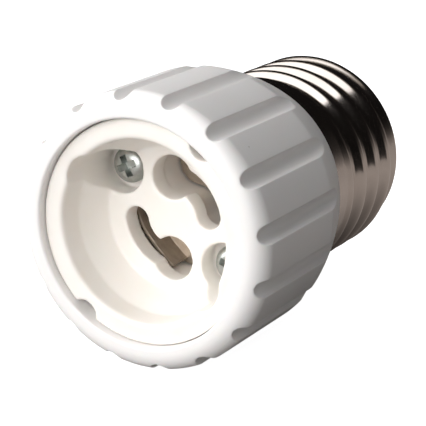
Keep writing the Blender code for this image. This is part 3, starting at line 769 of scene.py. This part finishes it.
# How far a crest lies behind the shoulder, at a bearing of 90 degrees
CREST_LEAD = 4.95
CREST_START = SHOULDER_DEPTH + 3.4
CREST_RUN_IN = 2.9
GROOVE_START = SHOULDER_DEPTH + 3.8
GROOVE_RUN_IN = 1.3
LAST_GROOVE = SHOULDER_DEPTH + 15.6
LAST_GROOVE_FADE = 1.6
LAST_GROOVE_SHARE = 0.8
CAP_SHEET = 0.35
CAP_CORNER = 1.1
CORNER_START = CAP_END - CAP_CORNER
LIP_RADIUS = CREST_RADIUS - 3.0
LIP_ROUND = 0.17
LIP_INSET = 0.1
print("cap", 2.0 * CREST_RADIUS, "mm over its crests and", round(CAP_END - CAP_START, 2), "mm long")

# %% The rolled thread


def ease(value, low, high):
    """0 below low, 1 above high, and a smooth step between."""
    t = min(max((value - low) / (high - low), 0.0), 1.0)
    return t * t * (3.0 - 2.0 * t)


def threaded_radius(radius, depth, bearing):
    """Radius of the rolled sheet, whose radius at a crest is given. Towards the lip the thread fades out."""
    turns = (depth - SHOULDER_DEPTH - CREST_LEAD) / PITCH - (bearing - 90.0) / 360.0
    wave = 0.5 + 0.5 * math.cos(2.0 * math.pi * turns)
    rolled = ROOT_RADIUS + (CREST_RADIUS - ROOT_RADIUS) * wave
    if rolled > PLAIN_RADIUS:
        run_in = ease(depth, CREST_START, CREST_START + CREST_RUN_IN)
    else:
        run_in = ease(depth, GROOVE_START, GROOVE_START + GROOVE_RUN_IN)
    wanted = PLAIN_RADIUS + (rolled - PLAIN_RADIUS) * run_in
    shallow = (1.0 - LAST_GROOVE_SHARE) * ease(depth, LAST_GROOVE, LAST_GROOVE + LAST_GROOVE_FADE)
    wanted += (CREST_RADIUS - wanted) * shallow
    share = min((radius - LIP_RADIUS) / (CREST_RADIUS - CAP_SHEET - LIP_RADIUS), 1.0)
    return radius + (wanted - CREST_RADIUS) * max(share, 0.0)


# %% Build the screw cap
OUTSIDE_ROWS = 110
INSIDE_ROWS = 70
CAP_COLUMNS = 256


def cap_rows(crest, corner, lip_depth, rows):
    """Profile of one side of the sheet, from the cap's open edge to its lip."""
    side = [(crest, depth) for depth in spaced(CAP_START, CORNER_START, rows)]
    side += arc((CREST_RADIUS - CAP_CORNER, CORNER_START), corner, 0.0, 90.0, 8)
    return side + [(LIP_RADIUS + LIP_INSET, lip_depth)]


outside = cap_rows(CREST_RADIUS, CAP_CORNER, CAP_END, OUTSIDE_ROWS)
inside = cap_rows(CREST_RADIUS - CAP_SHEET, CAP_CORNER - CAP_SHEET, CAP_END - CAP_SHEET, INSIDE_ROWS)
lip_centre = (LIP_RADIUS + LIP_ROUND, CAP_END - CAP_SHEET / 2)
lip_edge = arc(lip_centre, (LIP_ROUND, CAP_SHEET / 2), 120.0, 240.0, 4)
cap_mesh = turned_mesh("cap", outside + lip_edge + inside[::-1], even_bearings(CAP_COLUMNS), threaded_radius)
cap = make_piece("rolled_screw_cap", cap_mesh, NICKEL_PLATE, "screw_cap")
print("cap faces:", len(cap.data.polygons))

# %% [markdown]
# ## The tip
#
# The end of the cap is closed by a black insulator, which carries the centre contact and a drop of solder.
# All three are turned forms with small broken edges. The insulator has a flange inside the neck's end, a
# waist that passes through the cap's lip, and a cone from there to its top.

# %% Build the insulator
_, TIP_FRONT, TIP_TOP = span("tip_insulator")
TIP_FLANGE = 1.2
TIP_TOP_RADIUS = 5.4
TIP_TOP_ROUND = 0.4
TIP_BORE_RADIUS = 1.0
TIP_BREAK = 0.1
TIP_WAIST = LIP_RADIUS - 0.3
# The bend from waist to cone: how far each point lies inside the waist, and beyond the cap's end
TIP_BEND = ((0.0, -0.1), (0.04, 0.03), (0.2, 0.16))

flange_end = TIP_FRONT + TIP_FLANGE
tip_profile = [
    (TIP_BORE_RADIUS, TIP_FRONT),
    (NECK_RADIUS - TIP_BREAK, TIP_FRONT),
    (NECK_RADIUS, TIP_FRONT + TIP_BREAK),
    (NECK_RADIUS, flange_end - TIP_BREAK),
    (NECK_RADIUS - TIP_BREAK, flange_end),
    (TIP_WAIST, flange_end),
]
tip_profile += [(TIP_WAIST - inside_waist, CAP_END + beyond) for inside_waist, beyond in TIP_BEND]
tip_profile += arc((TIP_TOP_RADIUS, TIP_TOP - TIP_TOP_ROUND), TIP_TOP_ROUND, 25.0, 90.0, 5)
tip_profile += [(TIP_BORE_RADIUS + TIP_BREAK, TIP_TOP), (TIP_BORE_RADIUS, TIP_TOP - TIP_BREAK)]
tip_mesh = turned_mesh("tip", tip_profile, even_bearings(128))
make_piece("phenolic_tip", tip_mesh, PHENOLIC, "tip_insulator")
print("insulator", round(TIP_TOP - TIP_FRONT, 2), "mm long")

# %% Build the contact and its solder
CONTACT_RADIUS, CONTACT_FRONT, CONTACT_TOP = span("centre_contact")
SOLDER_RADIUS, _, SOLDER_TOP = span("tip_solder")
CONTACT_ROUND = 0.5
CONTACT_BREAK = 0.05
SOLDER_EDGE = 0.1
HOLE_RADIUS = SOLDER_RADIUS + 0.3
HOLE_ROUND = 0.12
# The drop's uneven outline: lobes, height as a share of the radius, and where they start
DROP_WAVES = ((2.0, 0.015, 0.6), (3.0, 0.01, 2.0))

contact_profile = [
    (HOLE_RADIUS, CONTACT_FRONT),
    (CONTACT_RADIUS - CONTACT_BREAK, CONTACT_FRONT),
    (CONTACT_RADIUS, CONTACT_FRONT + CONTACT_BREAK),
]
round_centre = (CONTACT_RADIUS - CONTACT_ROUND, CONTACT_TOP - CONTACT_ROUND)
contact_profile += arc(round_centre, CONTACT_ROUND, 0.0, 90.0, 8)
contact_profile += arc((HOLE_RADIUS + HOLE_ROUND, CONTACT_TOP - HOLE_ROUND), HOLE_ROUND, 90.0, 180.0, 3)
contact_mesh = turned_mesh("contact", contact_profile, even_bearings(96))
make_piece("tip_contact", contact_mesh, NICKEL_PLATE, "centre_contact")


def drop_radius(radius, depth, bearing):
    """Radius of the solder drop, which is never quite round and nowhere larger than the given radius."""
    turn = math.radians(bearing)
    dents = [height * (1.0 - math.sin(lobes * turn + start)) for lobes, height, start in DROP_WAVES]
    return radius * (1.0 - sum(dents))


drop_foot = CONTACT_TOP - SOLDER_EDGE
drop_profile = [(0.0, CONTACT_FRONT), (SOLDER_RADIUS, CONTACT_FRONT)]
drop_profile += arc((0.0, drop_foot), (SOLDER_RADIUS, SOLDER_TOP - drop_foot), 0.0, 90.0, 10)[:-1]
drop_profile += [(0.0, SOLDER_TOP)]
drop_mesh = turned_mesh("drop", drop_profile, even_bearings(48), drop_radius)
make_piece("tip_solder_drop", drop_mesh, TIN_SOLDER, "tip_solder")
print("contact", round(2.0 * CONTACT_RADIUS, 2), "mm across, drop", round(2.0 * SOLDER_RADIUS, 2), "mm")

# %% [markdown]
# ## The mounting screws
#
# Two zinc-plated pan-head screws hold the ceramic. Their cross recess is a star of four wings that narrow
# towards the bottom, and each screw stopped at its own angle when it was driven. The thread of the shank is
# a sharp ridge with flat ground between.

# %% Sizes of the screws
SCREW_RADIUS = 1.4
SCREW_CORE = 1.02
SCREW_PITCH = 1.05
# Half the ridge's width as a share of the pitch
RIDGE_SHARE = 0.24
SCREW_TIP = 21.8
SCREW_POINT = 0.9
POINT_SHARE = 0.4
POINT_FLAT = 0.3 * SCREW_RADIUS
HEAD_RADIUS = 2.25
HEAD_HEIGHT = 1.7
HEAD_EDGE = 0.12
HEAD_FLAT = 0.45 * HEAD_RADIUS
HEAD_CROWN = 0.6 * HEAD_HEIGHT
HEAD_UNDER = SCREW_SEAT - 0.3
HEAD_TOP = HEAD_UNDER - HEAD_HEIGHT
THREAD_START = HEAD_UNDER + 0.2
CROSS_LENGTH = 3.3
CROSS_WIDTH = 0.95
CROSS_DEPTH = 1.2
# Shares of its length and width that a wing keeps at the bottom
WING_FOOT = (0.45, 0.7525)
CROSS_TURN = {"a": 20.0, "b": 65.0}
print("screws", round(SCREW_TIP - HEAD_TOP, 2), "mm long, heads", 2.0 * HEAD_RADIUS, "mm across")

# %% Shank and cross recess


def shank_radius(radius, depth, bearing):
    """Radius of the shank with its thread; the head keeps its own radius."""
    if depth <= HEAD_UNDER or radius < SCREW_CORE:
        return radius
    turns = (depth / SCREW_PITCH - bearing / 360.0) % 1.0
    ridge = max(0.0, 1.0 - abs(turns - 0.5) / RIDGE_SHARE)
    point = 1.0 - ease(depth, SCREW_TIP - SCREW_POINT, SCREW_TIP)
    core = SCREW_CORE * (POINT_SHARE + (1.0 - POINT_SHARE) * point)
    return core + (SCREW_RADIUS - SCREW_CORE) * ridge * point


def wing_mesh(centre, angle):
    """One bar of the cross recess, from above the head down to the recess's bottom."""
    form = bmesh.new()
    bmesh.ops.create_cube(form, size=1.0)
    for corner in form.verts:
        long, wide = (1.0, 1.0) if corner.co.y < 0.0 else WING_FOOT
        depth = (corner.co.y + 0.5) * (CROSS_DEPTH + OVERLAP) - OVERLAP
        corner.co = Vector((corner.co.x * CROSS_LENGTH * long, depth, corner.co.z * CROSS_WIDTH * wide))
    turn = Matrix.Rotation(math.radians(angle), 4, "Y")
    return moved_mesh("wing", form, *centre, HEAD_TOP, turn @ Matrix.Scale(MM, 4))


# %% Build the screws


def build_screw(letter, centre):
    """One mounting screw, with its head towards the mouth."""
    profile = [(0.0, HEAD_TOP)]
    profile += arc((HEAD_FLAT, HEAD_TOP + HEAD_CROWN), (HEAD_RADIUS - HEAD_FLAT, HEAD_CROWN), -90.0, 0.0, 10)
    profile += [(HEAD_RADIUS, HEAD_UNDER - HEAD_EDGE), (HEAD_RADIUS - HEAD_EDGE, HEAD_UNDER)]
    profile += [(SCREW_RADIUS, HEAD_UNDER), (SCREW_CORE, (HEAD_UNDER + THREAD_START) / 2)]
    profile += [(SCREW_CORE, depth) for depth in spaced(THREAD_START, SCREW_TIP, 90)]
    profile += [(POINT_FLAT, SCREW_TIP), (0.0, SCREW_TIP)]
    mesh = turned_mesh("screw", profile, even_bearings(48), shank_radius, centre)
    wings = [wing_mesh(centre, CROSS_TURN[letter] + quarter) for quarter in (0.0, 90.0)]
    mesh = combine(mesh, "DIFFERENCE", wings)
    make_piece("pan_head_screw_" + letter, mesh, ZINC_PLATE, "mounting_screw_" + letter)


for letter, spot in zip("ab", screw_spots):
    build_screw(letter, spot)
print("screws: 2")

# %% [markdown]
# ## Clips, springs, board and leads
#
# These are already true in the frame, apart from their razor-sharp edges. Clips, springs and board get a
# copy of their own mesh, with the edges broken by a bevel as wide as a sheared sheet or a routed board has.
# The leads and the solder on the cap are round already, so they keep their meshes and only get their
# finish.

# %% Helpers for the inner pieces
WELD_DISTANCE = 0.0005


def welded_copy(node):
    """A copy of a frame node's mesh with the points of neighbouring faces merged."""
    form = bmesh.new()
    form.from_mesh(nodes[node].data)
    bmesh.ops.remove_doubles(form, verts=form.verts, dist=WELD_DISTANCE * MM)
    mesh = bpy.data.meshes.new(node)
    form.to_mesh(mesh)
    form.free()
    return mesh


def bevelled(mesh, width):
    """The mesh with its sharp edges broken."""
    helper = put("helper", mesh)
    step = helper.modifiers.new("edge", "BEVEL")
    step.width = width * MM
    step.segments = 2
    step.limit_method = "ANGLE"
    step.angle_limit = math.radians(30.0)
    return applied(helper)


# %% Dress the inner pieces
CLIP_EDGE = 0.06
SPRING_EDGE = 0.05
BOARD_EDGE = 0.1
for letter in ("a", "b"):
    clip = bevelled(welded_copy("contact_clip_" + letter), CLIP_EDGE)
    make_piece("bent_clip_" + letter, clip, CLIP_BRONZE, "contact_clip_" + letter)
    leaf = bevelled(welded_copy("clip_spring_" + letter), SPRING_EDGE)
    make_piece("leaf_spring_" + letter, leaf, SPRING_STEEL, "clip_spring_" + letter)
board = bevelled(welded_copy("backing_plate"), BOARD_EDGE)
make_piece("fibre_board", board, BOARD, "backing_plate")
nodes["cap_solder"].data.materials[0] = TIN_SOLDER
nodes["lead_live"].data.materials[0] = SILICONE_BROWN
nodes["lead_neutral"].data.materials[0] = SILICONE_BLUE
print("inner pieces dressed: 8")

# %% [markdown]
# ## Floor and world
#
# The photograph shows the adapter on pure white, with its front bright and its right side in half shade. So
# the floor and the world are white to the camera and in reflections, and dim to scattered light, or they
# would fill the shaded side. Light Path tells the two kinds of ray apart. The floor lies against the lowest
# land of the sleeve.

# %% World
WORLD_FILL = 0.07
WHITE = (1.0, 1.0, 1.0, 1.0)


def is_seen(tree):
    """1 for camera, glossy and transmitted rays, 0 for scattered light."""
    rays = add_node(tree, "LightPath").outputs
    seen = rays["Is Camera Ray"]
    for ray in ("Is Glossy Ray", "Is Transmission Ray"):
        seen = add_node(tree, "Math", {"operation": "MAXIMUM"}, {0: seen, 1: rays[ray]}).outputs[0]
    return seen


world = bpy.data.worlds.new("white_studio")
bpy.context.scene.world = world
world.use_nodes = True
sky = world.node_tree
backdrop = sky.nodes["Background"]
level = add_node(sky, "MapRange", {"To Min": WORLD_FILL, "To Max": 1.0}, {"Value": is_seen(sky)})
backdrop.inputs["Color"].default_value = WHITE
sky.links.new(level.outputs[0], backdrop.inputs["Strength"])
print("world fill:", WORLD_FILL)

# %% Floor
FLOOR_SIZE = 6.0
FLOOR_LEVEL = HOUSING_LOW.z * MM
FLOOR_GLOW = 0.94
FLOOR_BOUNCE = "#82807e"
FLOOR_WHITE = "#dcdcdc"


def white_floor():
    """Paper that is white where it is seen and dim where it lights the adapter."""
    material = bpy.data.materials.new("white_paper_sweep")
    material.use_nodes = True
    tree = material.node_tree
    tree.nodes.clear()
    paper = add_node(tree, "BsdfDiffuse", {"Color": linear(FLOOR_WHITE)})
    glow = add_node(tree, "Emission", {"Color": WHITE, "Strength": FLOOR_GLOW})
    shown = add_node(tree, "AddShader", None, {0: paper.outputs[0], 1: glow.outputs[0]})
    dim = add_node(tree, "BsdfDiffuse", {"Color": linear(FLOOR_BOUNCE)})
    either = add_node(tree, "MixShader", None, {0: is_seen(tree), 1: dim.outputs[0], 2: shown.outputs[0]})
    add_node(tree, "OutputMaterial", None, {"Surface": either.outputs[0]})
    return material


half = FLOOR_SIZE / 2
floor_corners = [(x, y, FLOOR_LEVEL) for x, y in ((-half, -half), (half, -half), (half, half), (-half, half))]
floor_mesh = bpy.data.meshes.new("floor")
floor_mesh.from_pydata(floor_corners, [], [(0, 1, 2, 3)])
floor_mesh.materials.append(white_floor())
floor = put("floor", floor_mesh)
print("floor at", round(FLOOR_LEVEL / MM, 2), "mm")

# %% [markdown]
# ## Lamps
#
# Four soft lamps light the adapter: a large one at the front, a little to the left, one far left, one
# overhead and a weak one behind. The last two stay out of reflections, so that they don't draw squares on
# the cap.

# %% Lamps
LAMP_DISTANCE = 0.6


def soft_lamp(name, direction, power, size, mirrored=True):
    """A rectangular soft lamp that looks at the adapter from a direction. Its size is in metres."""
    data = bpy.data.lights.new(name, "AREA")
    data.shape = "RECTANGLE"
    data.size, data.size_y = size
    data.energy = power
    lamp = put(name, data)
    lamp.location = Vector(direction).normalized() * LAMP_DISTANCE
    lamp.visible_glossy = mirrored
    aim(lamp, Vector((0.0, 0.0, 0.0)))


soft_lamp("front_softbox", (-0.18, -1.0, 0.2), 8.4, (0.95, 0.9))
soft_lamp("left_softbox", (-1.0, -0.35, 0.45), 2.0, (0.4, 0.4))
soft_lamp("overhead_softbox", (-0.2, 0.1, 1.0), 1.15, (0.5, 0.5), mirrored=False)
soft_lamp("back_softbox", (0.1, 1.0, 0.0), 0.5, (0.3, 0.3), mirrored=False)
print("lamps: 4")

# %% [markdown]
# ## Cards for the cap's reflections
#
# The cap shows hard black and white bands, and a mirror can only show what stands round it. So, as in a
# product studio, cards are put up that only reflections see: a white and a grey one overhead for the bands,
# black ones beside them, a near one at the right for the dark wedges, and a low one, which stands for the
# table and darkens towards the adapter as a painted shadow of it. Every card is a flat mesh that glows, so
# the bands on the cap are painted reflections, and the cards that fade with distance or height carry
# painted light and shade. Their places are in metres.

# %% Function for cards


def faded_colour(tree, colour, fade, upward):
    """A card's colour, dimmed along it. fade lists distances from the shoulder, or with upward heights above
    the floor, in millimetres, each with the share of the colour that is left there."""
    here = add_node(tree, "TexCoord").outputs["Object"]
    if upward:
        along = add_node(tree, "SeparateXYZ", None, {0: here}).outputs["Z"]
        start = FLOOR_LEVEL
    else:
        along = add_node(tree, "VectorMath", {"operation": "LENGTH"}, {0: here}).outputs["Value"]
        start = 0.0
    reach = fade[-1][0]
    ends = {"From Min": start, "From Max": start + reach * MM}
    part = add_node(tree, "MapRange", ends, {"Value": along})
    full = linear(colour)[:3]
    stops = [(distance / reach, (*(share * channel for channel in full), 1.0)) for distance, share in fade]
    return add_node(tree, "ValToRGB", {"stops": stops}, {"Fac": part.outputs[0]}).outputs["Color"]


def studio_card(name, corners, tone, fade=(), upward=False):
    """A flat card that only reflections see. tone is its colour and how strongly it glows."""
    colour, strength = tone
    data = bpy.data.meshes.new(name)
    data.from_pydata(corners, [], [tuple(range(len(corners)))])
    material = bpy.data.materials.new(name)
    material.use_nodes = True
    tree = material.node_tree
    tree.nodes.clear()
    glow = add_node(tree, "Emission", {"Color": linear(colour), "Strength": strength})
    if fade:
        tree.links.new(faded_colour(tree, colour, fade, upward), glow.inputs["Color"])
    add_node(tree, "OutputMaterial", None, {"Surface": glow.outputs[0]})
    data.materials.append(material)
    card = put(name, data)
    card.visible_camera = False
    card.visible_diffuse = False
    card.visible_shadow = False
    card.visible_transmission = False


# %% Cards overhead
CEILING = 0.5
FAR = 0.8
LEFT_END = -0.9
# The white card glows brighter than white for reflections only, a painted reflection of the overhead light;
# the grey card is a painted dimmer band beside it.
WHITE_TONE = ("#ffffff", 1.9)
GREY_TONE = ("#9a9288", 0.7)
BLACK_TONE = ("#161414", 1.0)
# The edges where white turns grey and grey turns black, from the mouth's side round to the left end
WHITE_EDGE = [(0.35, -0.3), (0.33, -0.13), (0.25, -0.02), (0.0, 0.06), (-0.25, 0.13), (LEFT_END, 0.38)]
GREY_EDGE = [(0.45, -0.3), (0.43, -0.1), (0.31, 0.04), (0.0, 0.13), (-0.25, 0.21), (LEFT_END, 0.47)]


def overhead(outline):
    """Corners of a card at the ceiling."""
    return [(x, y, CEILING) for x, y in outline]


black_outline = GREY_EDGE[:0:-1] + [(0.45, -FAR), (FAR, -FAR), (FAR, FAR), (LEFT_END, FAR)]
studio_card("white_card_above", overhead([(LEFT_END, -0.3)] + WHITE_EDGE), WHITE_TONE)
studio_card("grey_card_above", overhead(GREY_EDGE + WHITE_EDGE[::-1]), GREY_TONE)
studio_card("black_card_above", overhead(black_outline), BLACK_TONE)
print("cards overhead: 3")

# %% Cards behind, at the right and below
# TABLE_TONE is the glow of a lit table, painted on cards that only reflections see.
TABLE_TONE = ("#f2e6df", 0.46)
CARD_FOOT = FLOOR_LEVEL + 0.65 * MM
LOW_CARD_LEVEL = FLOOR_LEVEL + 0.35 * MM
SPLIT = 0.15
NEAR_SIDE = 0.12
# The upright cards carry painted light: they glow most at the floor and fade to dark higher up.
BEHIND_FADE = ((0.0, 0.7), (65.0, 0.35), (110.0, 0.15), (160.0, 0.07), (340.0, 0.02))
RIGHT_FADE = ((0.0, 0.85), (65.0, 0.63), (110.0, 0.4), (160.0, 0.2), (220.0, 0.08), (340.0, 0.02))
NEAR_FADE = ((0.0, 0.2), (8.0, 0.04), (40.0, 0.015))
# Painted shadow of the adapter on the low card: its glow is nearly black under the adapter and full about 65
# mm away.
TABLE_SHADOW_FADE = ((0.0, 0.03), (22.0, 0.15), (28.0, 0.38), (34.0, 0.62), (44.0, 0.87), (65.0, 1.0), (130.0, 0.93))


def standing(start, end, top=CEILING):
    """Corners of an upright card over the line from start to end on the floor."""
    return [(*start, CARD_FOOT), (*end, CARD_FOOT), (*end, top), (*start, top)]


studio_card("black_card_behind", standing((LEFT_END, FAR), (SPLIT, FAR)), BLACK_TONE)
studio_card("dark_card_behind", standing((SPLIT, FAR), (FAR, FAR)), TABLE_TONE, BEHIND_FADE, upward=True)
studio_card("dark_card_right", standing((FAR, -FAR), (FAR, FAR)), TABLE_TONE, RIGHT_FADE, upward=True)
near_corners = standing((NEAR_SIDE, -0.15), (NEAR_SIDE, 0.02), top=0.2)
studio_card("black_card_near", near_corners, TABLE_TONE, NEAR_FADE, upward=True)
table_corners = [(x, y, LOW_CARD_LEVEL) for x, y in ((-FAR, -0.3), (FAR, -0.3), (FAR, FAR), (-FAR, FAR))]
studio_card("low_card", table_corners, TABLE_TONE, TABLE_SHADOW_FADE)
print("cards behind, at the right and below: 5")

# %% [markdown]
# ## Finish
#
# The view transform Standard shows the colours as they are written.

# %% Finish
scene = bpy.context.scene
scene.view_settings.view_transform = "Standard"
